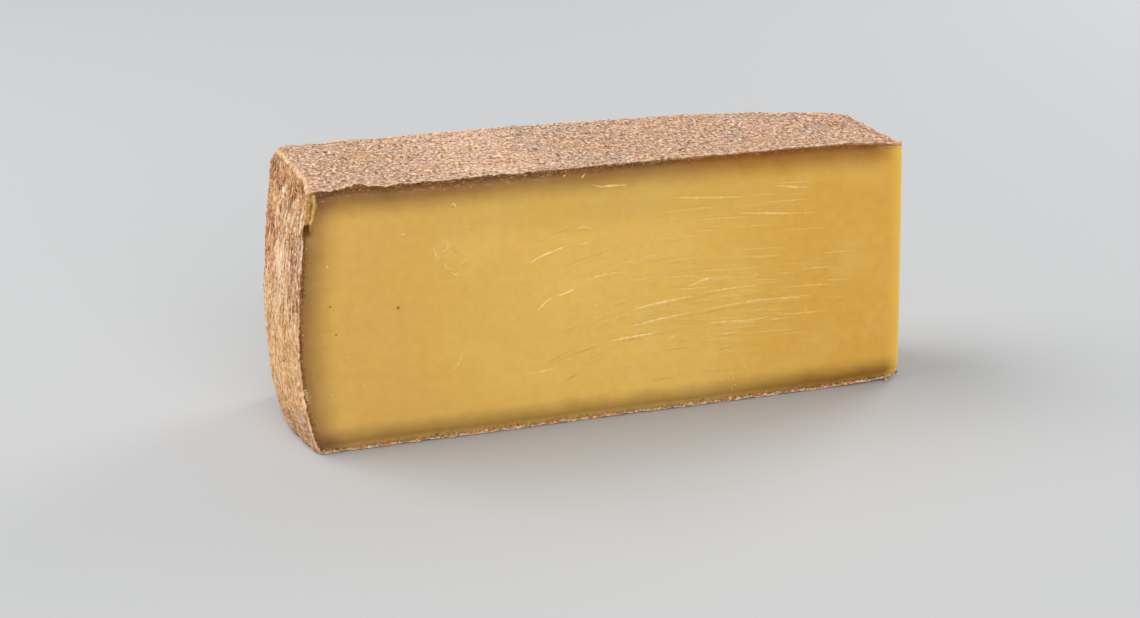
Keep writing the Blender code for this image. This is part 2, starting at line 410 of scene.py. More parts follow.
def rind_point(x, y, z, depth, inset):
    """A point of the rind with the values that its colour follows."""
    rx, ry, rz = round_edges(x, y, z)
    rx = depth + rx * (SLAB_LENGTH - depth) / SLAB_LENGTH
    rz = depth + rz * (WHEEL_HEIGHT - 2 * depth) / WHEEL_HEIGHT
    if 0.0 < depth < BACKING_DEPTH:
        inset *= RIM_SHUT + gape(rx, rz, bend(rx, ry, rz))
    rx -= inset * rx / SLAB_LENGTH
    ry = inset + ry * (SLAB_DEPTH - 2 * inset) / SLAB_DEPTH
    place = bend(rx, ry, rz)
    move = large_relief(x, y, z, depth, place)
    height, wear = 0.0, 0.0
    to_cut = min(y, SLAB_DEPTH - y, SLAB_LENGTH - x)
    if depth == 0.0:
        height = grain_height(x, z, place)
        wear = worn(x, y, z, place)
        underfoot = slope(to_cut / BASE_MARGIN) if z == 0 else 0.0
        move += outward(x, z) * height * GRAIN * (1.0 - underfoot)
    else:
        to_cut = inset
        move.y += torn(rx, rz, place)[0] * bell(y / EDGE_BLEND)
    move += CRUMBLE * noise.noise_vector(place / CRUMBLE_SIZE) * bell(to_cut / CRUMBLE_REACH)
    place = place + move
    place.z = max(place.z, 0.0)
    at_heel = bell(x / EDGE_BLEND) if z > 0 else 0.0
    return to_frame(place), (height, wear, at_heel), depth / MM


def ring_of(columns, rows):
    """The steps round the edge of a grid with this many faces each way."""
    front = [(i, 0) for i in range(columns)]
    end = [(columns, j) for j in range(rows)]
    back = [(i, rows) for i in range(columns, 0, -1)]
    start = [(0, j) for j in range(rows, 0, -1)]
    return front + end + back + start


def rind_skin():
    """The rind as one closed skin: its face, its cut rim all round and a coarse hidden backing."""
    outline = profile_stations()
    columns, rows = len(outline) - 1, ACROSS_COUNT
    across = [SLAB_DEPTH * j / rows for j in range(rows + 1)]
    made, faces = [], []

    def add(i, j, depth, inset):
        x, z = outline[i]
        made.append(rind_point(x, across[j], z, depth, inset))
        return len(made) - 1

    grid = [[add(i, j, 0.0, 0.0) for j in range(rows + 1)] for i in range(columns + 1)]
    for i in range(columns):
        for j in range(rows):
            faces.append((grid[i][j], grid[i][j + 1], grid[i + 1][j + 1], grid[i + 1][j]))
    steps = ring_of(columns, rows)
    ring = [grid[i][j] for i, j in steps]
    count = len(ring)
    for depth, inset in RIM_ROWS:
        deeper = [add(i, j, depth, inset) for i, j in steps]
        for k in range(count):
            after = (k + 1) % count
            faces.append((ring[k], ring[after], deeper[after], deeper[k]))
        ring = deeper
    backing = {}
    for i in range(0, columns + 1, BACKING_STEP):
        for j in range(0, rows + 1, BACKING_STEP):
            backing[i, j] = add(i, j, BACKING_DEPTH, BACKING_INSET)
    for i in range(0, columns, BACKING_STEP):
        for j in range(0, rows, BACKING_STEP):
            far_i, far_j = i + BACKING_STEP, j + BACKING_STEP
            faces.append((backing[i, j], backing[far_i, j], backing[far_i, far_j], backing[i, far_j]))
    for k in range(0, count, BACKING_STEP):
        after = (k + BACKING_STEP) % count
        fine = [ring[(k + step) % count] for step in range(BACKING_STEP + 1)]
        faces.append((*fine, backing[steps[after]], backing[steps[k]]))
    points, skins, depths = zip(*made)
    rind = new_piece("rind", points, faces, smooth_angle=60)
    keep_values(rind, "skin", skins, "FLOAT_VECTOR")
    keep_values(rind, "rim_depth", depths)
    return rind


# The paste


def graded(low, high, step, low_steps, high_steps):
    """Stations from low to high: close ones at either end and even ones between."""
    start = [low + part * MM for part in low_steps]
    stop = [high - part * MM for part in reversed(high_steps)]
    count = round((stop[0] - start[-1]) / step)
    even = [start[-1] + (stop[0] - start[-1]) * i / count for i in range(1, count)]
    return start + even + stop


def block_surface(xs, ys, zs):
    """The lattice steps on the surface of a block, and its faces."""
    last = (len(xs) - 1, len(ys) - 1, len(zs) - 1)
    index, steps, faces = {}, [], []

    def at(step):
        if step not in index:
            index[step] = len(steps)
            steps.append(step)
        return index[step]

    for axis in range(3):
        u, v = [other for other in range(3) if other != axis]
        for side in (0, last[axis]):
            for a in range(last[u]):
                for b in range(last[v]):
                    corners = []
                    for da, db in ((0, 0), (1, 0), (1, 1), (0, 1)):
                        step = [0, 0, 0]
                        step[axis], step[u], step[v] = side, a + da, b + db
                        corners.append(at(tuple(step)))
                    turned = (side == 0) == (axis != 1)
                    faces.append(corners[::-1] if turned else corners)
    return steps, faces


def shrinkage(x, z, place):
    """How deep the paste has shrunk in beside the rind."""
    gap = min(x, z, WHEEL_HEIGHT - z)
    return GAPE_DEPTH * gape(x, z, place) * bell((gap - PASTE_MARGIN) / GAPE_REACH)


def torn(x, z, place):
    """The hole, trough and flap by the heel's top: the depth, how much is hole, where painted shade also
    goes, and how much is flap.
    """
    u, v = x / MM, z / MM
    ragged = 1.0 + TEAR_RAGGED * noise.noise(place / TEAR_STEP)
    hole = bell(away(u, v, HOLE) / HOLE_WIDTH)
    trough = bell(away(u, v, TROUGH) / TROUGH_WIDTH)
    flap = bell(away(u, v, FLAP) / (FLAP_WIDTH * ragged))
    depth = HOLE_DEPTH * hole + TROUGH_DEPTH * trough * ragged - FLAP_HEIGHT * flap * ragged
    return depth, hole, max(flap, trough * (1 - hole))


def paste_point(x, y, z):
    """A point of the paste with the values that its colour follows."""
    place = bend(*round_edges(x, y, z))
    gap = min(x, z, WHEEL_HEIGHT - z)
    move = large_relief(x, y, z, gap, place)
    dragged = DRAG_WAVE * noise.noise(stretched(place, DRAG_WAVE_SIZE))
    shrunk = shrinkage(x, z, place)
    at_front, at_back = bell(y / EDGE_BLEND), bell((SLAB_DEPTH - y) / EDGE_BLEND)
    torn_depth, hole, flap = torn(x, z, place)
    move.y += (shrunk + dragged) * (at_front - at_back) + torn_depth * at_front
    # Painted shade in the gaps between rind and paste and in the hole
    gap_shade = (shrunk / GAPE_DEPTH) * max(at_front, at_back) * PAINTED_SHADE_GAIN
    hollow_shade = min(gap_shade + hole * at_front, 1.0)
    to_end_edge = (SLAB_LENGTH - x + min(y, SLAB_DEPTH - y)) / MM
    gaps = (x / MM, z / MM, (WHEEL_HEIGHT - z) / MM)
    return to_frame(place + move), gaps, (hollow_shade, flap * at_front, to_end_edge)


def paste_block():
    """The paste as one closed block. Its top, foot and heel lie hidden in the rind."""
    xs = graded(PASTE_MARGIN, SLAB_LENGTH, PASTE_STEP_ALONG, FINE_STEPS, CUT_STEPS)
    ys = graded(0.0, SLAB_DEPTH, PASTE_STEP_ACROSS, CUT_STEPS, CUT_STEPS)
    high = WHEEL_HEIGHT - PASTE_MARGIN
    zs = graded(PASTE_MARGIN, high, PASTE_STEP_UP, FINE_STEPS, FINE_STEPS)
    steps, faces = block_surface(xs, ys, zs)
    points, gaps, marks = zip(*[paste_point(xs[i], ys[j], zs[k]) for i, j, k in steps])
    paste = new_piece("paste", points, faces, smooth_angle=60)
    keep_values(paste, "rind_gaps", gaps, "FLOAT_VECTOR")
    keep_values(paste, "marks", marks, "FLOAT_VECTOR")
    return paste


# Knife marks
# Each is a path of points along and up the bent front face, in mm from the foot of the heel.

PALE_LINES = (
    ((71.7, 58.5), (76.2, 60.8), (82.1, 62.6), (85.2, 63.7)),
    ((74.3, 41.2), (76.1, 43.2), (78.2, 45.1), (80.3, 45.9)),
    ((81.7, 46.3), (84.8, 47.1), (88, 48.2)),
    ((127.7, 44.1), (129.9, 44.9), (133.5, 46), (137.1, 46.7)),
    ((108.3, 38), (111.1, 38.8), (119.8, 39.9), (127, 40.5), (131.1, 40.5)),
    ((105.8, 32.1), (109.8, 32.7), (118.4, 33.9), (125.7, 34.5), (130.1, 35.1)),
    ((100.1, 27.7), (104.1, 28.3), (112, 28.8), (117.8, 29.2)),
)
SOFT_LINES = (
    ((88, 48.6), (91.8, 50.6), (96.8, 51.8), (103.8, 52.1), (111, 50.6)),
    ((88.7, 63.6), (91.1, 63.7), (93.6, 63.8)),
    ((88, 68.9), (91.1, 69.3), (94.6, 68.3)),
    ((93.8, 83.5), (96.6, 82.6), (100.8, 82.5), (106.4, 82.3)),
    ((120.6, 76.8), (124.9, 76.1), (132, 75.4), (144, 74.5), (149.5, 74.4)),
    ((145.3, 68.8), (149.7, 68.3), (157.8, 67.5), (170.1, 66.3)),
    ((157.4, 76.8), (161.1, 76.8), (166.7, 75.9), (173, 75.3)),
    ((151.9, 45.8), (154.9, 46.2)),
    ((132.9, 41), (135.8, 41.7), (145.7, 42.1), (155.8, 42)),
    ((130.1, 35.1), (134.9, 35.3), (147.8, 36.3), (160.5, 36.4), (174.9, 35.5)),
    ((141.4, 25.3), (144.4, 25.7), (147.4, 25.7)),
    ((120, 25.7), (122.9, 26.8), (125.9, 27.9)),
    ((133.2, 29.2), (137.6, 30.2), (151.7, 29.6), (158.5, 29.9)),
    ((70.3, 19.1), (73.8, 19.7), (78.4, 20.2), (82.7, 20.8)),
)
# Painted shade: dark slivers that barely stand proud, put where the knife left grooves
GROOVE_SHADE_LINES = (
    ((77.4, 21.8), (82.7, 23.3), (88, 24.8), (93.3, 26), (100.1, 27.7)),
    ((82.7, 14.9), (86.2, 16.3), (88.7, 17.4), (90.9, 18.3)),
    ((116.5, 42.8), (121.2, 43.8), (125.5, 44.3), (133.5, 46)),
    ((132.8, 44.3), (138.3, 44.7), (143.8, 44.8), (151.9, 45)),
    ((128.4, 77.8), (139.2, 76.8), (153.8, 76.1), (164.8, 75.4), (173, 74.6)),
    ((111.2, 37.3), (118.4, 38.3), (129.3, 39.6), (140.2, 40.9)),
    ((114.1, 32.2), (122.1, 33.1), (133.1, 34), (147.8, 34.9), (166.6, 34.9)),
    ((140.7, 24.6), (144.4, 24.9), (148.9, 24.8)),
    ((137.1, 19.5), (142.7, 20.3), (150.1, 21.6)),
    ((103.4, 27.3), (107.7, 27.5), (114.2, 27.8)),
    ((45.3, 67.2), (47, 65.6), (49, 64)),
)
SCRAPES = (
    ((42.4, 69.2), (44.1, 69.3), (44.7, 67.6), (43.6, 66), (42.3, 66.8)),
    ((40, 68.4), (40, 66.7), (40.6, 64.9), (41.6, 62.8)),
    ((47.9, 60.4), (49.6, 61.9), (51.6, 62.7)),
    ((45.2, 58.9), (46.8, 57.7), (48.5, 58.2)),
    ((50.1, 72.8), (51.8, 73.7)),
    ((28.9, 73), (31.2, 73.1)),
    ((48, 32.3), (48.3, 29.1), (47.2, 26.3), (44.7, 23.8)),
    ((45.6, 81.1), (47, 81.6), (47.6, 80.2)),
    ((95.4, 39.1), (94.7, 41), (96.8, 41.9), (99, 40.9)),
    ((42.9, 62.6), (44.2, 60.4), (45.8, 59.5)),
    ((84.9, 87.8), (83.8, 86.9)),
    ((91.7, 87.5), (90, 85.9)),
)

# The kinds of mark: how pale, wide and proud they are. Below 0 a mark is painted shade of a groove, darker
# than the paste.
MARK_KINDS = (
    (PALE_LINES, 1.0, 0.95 * MM, 0.14 * MM),
    (SOFT_LINES, 0.55, 0.9 * MM, 0.08 * MM),
    (GROOVE_SHADE_LINES, -0.4, 0.8 * MM, 0.02 * MM),
    (SCRAPES, 0.6, 0.65 * MM, 0.14 * MM),
)

# The fine streaks on each cut face: how many, from where to where along it in mm, and their tones,
# widths in mm and height
# A tone below 0 makes a streak painted shade of a groove
STREAK_FIELDS = (
    ("front", 190, 66, 186, (-0.35, 0.1, 0.25, 0.35), (0.35, 0.9), 0.04 * MM),
    ("back", 110, 25, 180, (-0.3, 0.1, 0.3, 0.6), (0.25, 0.6), 0.08 * MM),
    ("end", 40, 4, 26, (-0.3, 0.1, 0.3, 0.6), (0.25, 0.6), 0.08 * MM),
)
STREAK_SEED = 31
STREAK_UP = (12, 80)
FRONT_STREAK_UP = (10, 82, 34)
STREAK_PIECES = (2, 9)
STREAK_STEP = 2.6
STREAK_WOBBLE = 0.1
STREAK_LIMITS = (8, 84)  # no streak runs lower or higher than this
STREAK_OVERRUN = 8  # how far a streak may run past its field
SHORTEST_STREAK = 3

# The arc of the streaks, in mm: where it crests, how it slopes, and from which height it is flatter
ARC_CREST = 125
ARC_RUN = 100
ARC_SLOPES = (-0.05, 0.4)
FLATTER_FROM = 45
FLATTER_OVER = 30
FLATTER_SHARE = 0.6

# A sliver's section and taper, as shares of its width, height and tone
SLIVER_SUNK = -0.2
SLIVER_TIP = 0.02
SLIVER_FULLNESS = 0.6
SLIVER_FADE = 0.5
SLIVER_STEP = 0.8  # mm
RAGGED = (0.6, 1.15)  # the share of its full size at a random point of a sliver or a crumb


def on_cut(face, along, up, proud):
    """A place on a cut face of the paste, proud of it. along runs from the heel, or from the front."""
    x, y, z, way = {
        "front": (along, 0.0, up, Vector((0.0, -1.0, 0.0))),
        "back": (along, SLAB_DEPTH, up, Vector((0.0, 1.0, 0.0))),
        "end": (SLAB_LENGTH, along, up, Vector((1.0, 0.0, 0.0))),
    }[face]
    return paste_point(x, y, z)[0] + way * proud


def smooth_path(path, step):
    """Points about step apart along a smooth curve through a path's points."""
    points = [Vector((*point, 0.0)) for point in path]
    points = [2 * points[0] - points[1], *points, 2 * points[-1] - points[-2]]
    curve = []
    for before, start, stop, after in zip(points, points[1:], points[2:], points[3:]):
        count = max(round((stop - start).length / step), 1)
        for i in range(count):
            t = i / count
            bent = start * 2 + (stop - before) * t + (before * 2 - start * 5 + stop * 4 - after) * t**2
            bent += (start * 3 - before - stop * 3 + after) * t**3
            curve.append(bent / 2)
    return [*curve, points[-2]]


class Bits:
    """A mesh of many small closed bits, with its own random numbers and a tone for each point."""

    def __init__(self, seed):
        self.rng = random.Random(seed)
        self.points = []
        self.faces = []
        self.tones = []

    def join(self, first, rings, sides):
        """Joins rings of points into a closed tube. first is the number of its first point."""
        last = first + sides * (rings - 1)
        for near in range(first, last, sides):
            for a in range(sides):
                b = (a + 1) % sides
                self.faces.append((near + a, near + b, near + sides + b, near + sides + a))
        self.faces.append(tuple(reversed(range(first, first + sides))))
        self.faces.append(tuple(range(last, last + sides)))

    def piece(self, name, smooth_angle):
        """The bits as one piece."""
        piece = new_piece(name, self.points, self.faces, smooth_angle)
        if self.tones:
            keep_values(piece, "tone", self.tones)
        return piece


class Slivers(Bits):
    """Thin tapered slivers that lie on the cut faces."""

    def add(self, face, path, tone, width, height):
        """Adds one sliver along a path of (along, up) in metres of the blank."""
        count = len(path)
        first = len(self.points)
        for i, spot in enumerate(path):
            ahead = path[min(i + 1, count - 1)] - path[max(i - 1, 0)]
            side = Vector((-ahead.y, ahead.x)).normalized()
            arch = max(math.sin(math.pi * i / (count - 1)), SLIVER_TIP)
            full = arch**SLIVER_FULLNESS * self.rng.uniform(*RAGGED)
            for shift, lift in ((-0.5, SLIVER_SUNK), (0.0, full), (0.5, SLIVER_SUNK)):
                across = side * (shift * width * full)
                self.points.append(on_cut(face, spot.x + across.x, spot.y + across.y, lift * height))
            self.tones += [tone * (1.0 - SLIVER_FADE + SLIVER_FADE * full)] * 3
        self.join(first, count, 3)


def front_path(path):
    """A smooth path on the blank from points in mm on the bent front face."""
    curve = smooth_path(path, SLIVER_STEP)
    return [Vector((unbend(p.x * MM, p.y * MM, 0.0), p.y * MM)) for p in curve]


def streak_slope(along, up):
    """The rise of the knife's streaks on the front face, which arc over to the right."""
    lowest, highest = ARC_SLOPES
    rise = min(max((ARC_CREST - along) / ARC_RUN, lowest), highest)
    return rise * (1.0 - FLATTER_SHARE * slope((up - FLATTER_FROM) / FLATTER_OVER))


def drawn_streak(rng, face, low, high):
    """A fine streak in mm that follows the knife's arcs."""
    along, up = rng.uniform(low, high), rng.uniform(*STREAK_UP)
    if face == "front":
        along, up = rng.triangular(low, high, ARC_CREST), rng.triangular(*FRONT_STREAK_UP)
    path = [(along, up)]
    lowest, highest = STREAK_LIMITS
    for step in range(rng.randint(*STREAK_PIECES)):
        along += STREAK_STEP
        up += STREAK_STEP * streak_slope(along, up) + rng.uniform(-STREAK_WOBBLE, STREAK_WOBBLE)
        if along < high + STREAK_OVERRUN and lowest < up < highest:
            path.append((along, up))
    return path


def knife_marks():
    """The knife's slivers and grooves: those that the photo shows, and fine ones between them."""
    marks = Slivers(STREAK_SEED)
    rng = marks.rng
    for paths, tone, width, height in MARK_KINDS:
        for path in paths:
            marks.add("front", front_path(path), tone, width, height)
    for face, count, low, high, tones, widths, height in STREAK_FIELDS:
        for streak in range(count):
            path = drawn_streak(rng, face, low, high)
            if len(path) >= SHORTEST_STREAK:
                path = front_path(path) if face == "front" else [Vector((a * MM, b * MM)) for a, b in path]
                marks.add(face, path, rng.choice(tones), rng.uniform(*widths) * MM, height)
    return marks.piece("knife_marks", smooth_angle=40)


# Crumbs, grains and fibres
# Their places along and up the cut faces, and their sizes, are spans in mm: from the lowest to the
# highest value, with the likeliest one last where there is one.

SIDES = ("front", "back")
CRUMB_SEED = 5
CRUMB_SPREAD = (0.6, 1.3)
CRUMB_TONES = (0.0, 0.75)
CRUMB_PROUD = 0.35  # how far a crumb's middle stands off the cut, as a share of its radius
TUFT_UP = 21.5  # mm

# Crumbs by the foot, the top, the heel and the tuft, row by row: the faces, how many, along, the height
# that the span up starts from and its direction, the span, the radius and the tone
EDGE_CRUMBS = (
    (SIDES, 620, (1, 209), 0.0, 1, (0.9, 2.3, 1.0), (0.14, 0.5, 0.2), None),
    (SIDES, 420, (1, 209), 89.2, -1, (0, 1.6, 0.2), (0.1, 0.36, 0.15), None),
    (SIDES, 150, (0.8, 2.2, 0.9), 0.0, 1, (2, 88), (0.1, 0.42, 0.18), None),
    (("front",), 22, (0.8, 2.4, 1.2), TUFT_UP, 1, (-3.5, 2.5), (0.15, 0.5, 0.25), (0.2, 0.8)),
)
SCATTERED_CRUMBS = (("front",), 30, (2, 208), 0.0, 1, (1, 16, 2), (0.06, 0.2, 0.1), (0.4, 0.8))

# Crumbs on the right end: how many, along, up by the foot, or else the top and how far below it, and
# the radius
END_CRUMBS = (130, (1, 34), (0.9, 2.4, 1.0), 89, (0, 2.4, 0.2), (0.12, 0.42, 0.2))

# The flake at the foot of the right end
FLAKE_PLACE = Vector((205.0, -0.4, 0.45)) * MM
FLAKE_SIZE = Vector((2.1, 1.0, 0.6)) * MM

# Single grains of paste: x and z on the bent front face, and the width. Below them, the small groups:
# where they are, how far they spread along and up, their radius and their tone.
GRAINS = ((170.1, 66.3, 0.9), (166.7, 75.8, 0.7), (168.5, 34.3, 0.9))
FLECK_SPOTS = (
    (24.9, 70.7), (4.8, 65), (10.1, 33.5), (9.9, 30.3), (61.8, 33.1), (64.6, 35.3), (4.6, 21.1),
    (15.3, 22.6), (41.2, 63.5), (43.7, 67.3), (97.5, 48.2), (98.2, 45.3), (101.9, 33), (92.6, 37.3),
    (167.7, 70.5), (172.4, 31.3),
)
CLUMP_SPOTS = (
    (145.6, 9.6), (146.2, 8.4), (145.9, 7.2), (146.2, 5.8), (145.8, 4.8), (150.8, 12), (150.4, 10.6),
)
GRAIN_GROUPS = ((FLECK_SPOTS, 0.4, 0.6, (0.15, 0.3), 0.8), (CLUMP_SPOTS, 0.6, 0.5, (0.25, 0.5), 0.7))
GROUP_COUNT = 3

# Grains that lie anywhere on a cut face: how many, and along
SPARSE_GRAINS = (("front", 34, (4, 205)), ("back", 34, (4, 205)), ("end", 8, (4, 32)))
SPARSE_UP = (8, 82)
SPARSE_RADIUS = (0.08, 0.24, 0.1)

HAIR_SEED = 12
HAIR_POINTS = 7
HAIR_TAPER = 0.7
HAIR_CURL = 0.22
HAIR_SUNK = -0.1 * MM
TUFT_HAIRS = 18
TUFT_LENGTHS = (0.9, 2.2)
TUFT_RADII = (0.1, 0.2)
TUFT_CURL = 0.08
CREVICE_HAIRS = 26
CREVICE_LENGTHS = (0.6, 1.7)
CREVICE_RADII = (0.05, 0.09)
CREVICE_SUNK = -0.3 * MM
EDGE_HAIRS = 50
EDGE_LENGTHS = (0.7, 2.2)
EDGE_RADII = (0.05, 0.1)
EDGE_HEIGHTS = (1.0, 88.9)


def drawn(rng, span):
    """A random value in a span, around its likeliest value if it has one."""
    return rng.triangular(*span) if len(span) == 3 else rng.uniform(*span)


def rough_ball():
    """The points and faces of a ball of 20 faces."""
    mesh = bmesh.new()
    bmesh.ops.create_icosphere(mesh, subdivisions=1, radius=1.0)
    mesh.verts.index_update()
    points = [vertex.co.copy() for vertex in mesh.verts]
    faces = [[vertex.index for vertex in face.verts] for face in mesh.faces]
    mesh.free()
    return points, faces


class Crumbs(Bits):
    """Small broken crumbs and grains."""

    def __init__(self, seed):
        super().__init__(seed)
        self.ball = rough_ball()

    def add(self, place, size, tone=None):
        """Adds one crumb of these half sizes, broken and turned at random."""
        turn = Euler([self.rng.uniform(0, 2 * math.pi) for axis in range(3)]).to_matrix()
        if tone is None:
            tone = self.rng.uniform(*CRUMB_TONES)
        first = len(self.points)
        for point in self.ball[0]:
            broken = point * self.rng.uniform(*RAGGED)
            broken = turn @ Vector([part * length for part, length in zip(broken, size)])
            self.points.append(place + broken)
            self.tones.append(tone)
        self.faces += [[first + corner for corner in face] for face in self.ball[1]]

    def add_on(self, face, along, up, radius, tone=None):
        """Adds a crumb of this radius on a cut face, at a place on the blank."""
        size = [radius * self.rng.uniform(*CRUMB_SPREAD) for axis in range(3)]
        self.add(on_cut(face, along, up, radius * CRUMB_PROUD), size, tone)

    def strew(self, faces, count, along, up_from, up_way, up, radius, tones):
        """Adds crumbs in spans in mm on one cut face, or shared out over several."""
        rng = self.rng
        for crumb in range(count):
            face = rng.choice(faces) if len(faces) > 1 else faces[0]
            x, z = drawn(rng, along) * MM, (up_from + up_way * drawn(rng, up)) * MM
            self.add_on(face, x, z, drawn(rng, radius) * MM, drawn(rng, tones) if tones else None)


def rind_crumbs():
    """Crumbs of rind along its cut edges, a few low on the front cut, and one flake at the foot."""
    crumbs = Crumbs(CRUMB_SEED)
    rng = crumbs.rng
    for row in EDGE_CRUMBS:
        crumbs.strew(*row)
    count, along, by_foot, top, below_top, radius = END_CRUMBS
    for crumb in range(count):
        up = rng.choice((drawn(rng, by_foot), top - drawn(rng, below_top)))
        crumbs.add_on("end", drawn(rng, along) * MM, up * MM, drawn(rng, radius) * MM)
    crumbs.strew(*SCATTERED_CRUMBS)
    crumbs.add(to_frame(FLAKE_PLACE), FLAKE_SIZE, 1.0)
    return crumbs.piece("rind_crumbs", smooth_angle=30)


def paste_grains():
    """Pale grains in the cut faces, where the knife caught them."""
    grains = Crumbs(CRUMB_SEED + 1)
    rng = grains.rng
    for slab_x, z, width in GRAINS:
        grains.add_on("front", unbend(slab_x * MM, z * MM, 0.0), z * MM, width / 2 * MM, 1.0)
    for spots, spread_along, spread_up, radius, tone in GRAIN_GROUPS:
        for slab_x, z in spots:
            for grain in range(GROUP_COUNT):
                along = unbend((slab_x + rng.uniform(-spread_along, spread_along)) * MM, z * MM, 0.0)
                up = (z + rng.uniform(-spread_up, spread_up)) * MM
                grains.add_on("front", along, up, drawn(rng, radius) * MM, tone)
    for face, count, along in SPARSE_GRAINS:
        for grain in range(count):
            x, z = drawn(rng, along) * MM, drawn(rng, SPARSE_UP) * MM
            grains.add_on(face, x, z, drawn(rng, SPARSE_RADIUS) * MM, rng.random())
    return grains.piece("paste_grains", smooth_angle=50)


class Hairs(Bits):
    """Bent hairs of rind with four sides."""

    def add(self, at, way, lengths, radii, curl=HAIR_CURL):
        """Adds one hair that starts at a place and sets off this way. Its sizes are spans in mm."""
        length, radius = drawn(self.rng, lengths) * MM, drawn(self.rng, radii) * MM
        ahead = Vector(way).normalized()
        bend_way = Vector([self.rng.uniform(-1, 1) for axis in range(3)])
        first = len(self.points)
        for i in range(HAIR_POINTS):
            side = ahead.orthogonal().normalized()
            other = ahead.cross(side)
            thick = radius * (1.0 - HAIR_TAPER * i / (HAIR_POINTS - 1))
            self.points += [at + side * thick, at + other * thick, at - side * thick, at - other * thick]
            at = at + ahead * (length / (HAIR_POINTS - 1))
            ahead = (ahead + bend_way * curl).normalized()
        self.join(first, HAIR_POINTS, 4)


def rind_hairs():
    """Torn fibres of rind along the cut edges, with a tuft low on the heel's front edge."""
    hairs = Hairs(HAIR_SEED)
    rng = hairs.rng
    outward_ways = {"front": -1.0, "back": 1.0}
    for hair in range(TUFT_HAIRS):
        up = TUFT_UP + rng.triangular(-3.5, 2.5, 0.0)
        start = on_cut("front", rng.uniform(0.7, 1.3) * MM, up * MM, HAIR_SUNK)
        way = (rng.uniform(0.3, 1.0), rng.uniform(-0.4, -0.1), rng.uniform(-0.3, 0.9))
        hairs.add(start, way, TUFT_LENGTHS, TUFT_RADII, TUFT_CURL)
    for hair in range(CREVICE_HAIRS):
        face = rng.choice(SIDES)
        start = on_cut(face, rng.uniform(0.9, 1.4) * MM, rng.uniform(22, 86) * MM, CREVICE_SUNK)
        way = (rng.uniform(-0.6, 0.8), outward_ways[face] * 0.6, rng.uniform(-0.8, 0.8))
        hairs.add(start, way, CREVICE_LENGTHS, CREVICE_RADII)
    for hair in range(EDGE_HAIRS):
        face = rng.choice(SIDES)
        up = rng.choice(EDGE_HEIGHTS)
        start = on_cut(face, rng.uniform(4, 206) * MM, up * MM, HAIR_SUNK)
        way = (rng.uniform(-1, 1), outward_ways[face] * 0.5, rng.uniform(-0.3, 0.3))
        hairs.add(start, way, EDGE_LENGTHS, EDGE_RADII)
    return hairs.piece("rind_hairs", smooth_angle=60)


# Finishes


def screen(red, green, blue):
    """An 8-bit screen colour as the linear colour that a shader takes."""
    shares = [part / 255 for part in (red, green, blue)]
    linear = [s / 12.92 if s <= 0.04045 else ((s + 0.055) / 1.055) ** 2.4 for s in shares]
    return (*linear, 1.0)


class Socket:
    """An output in a finish's node tree. Sums on it add Math nodes."""

    def __init__(self, finish, output):
        self.finish = finish
        self.output = output

    def sum(self, operation, *values):
        return self.finish.add("Math", {"operation": operation}, dict(enumerate(values)))

    def __add__(self, other):
        return self.sum("ADD", self, other)

    def __sub__(self, other):
        return self.sum("SUBTRACT", self, other)

    def __mul__(self, other):
        return self.sum("MULTIPLY", self, other)

    def __rsub__(self, other):
        return self.sum("SUBTRACT", other, self)

    __radd__ = __add__
    __rmul__ = __mul__


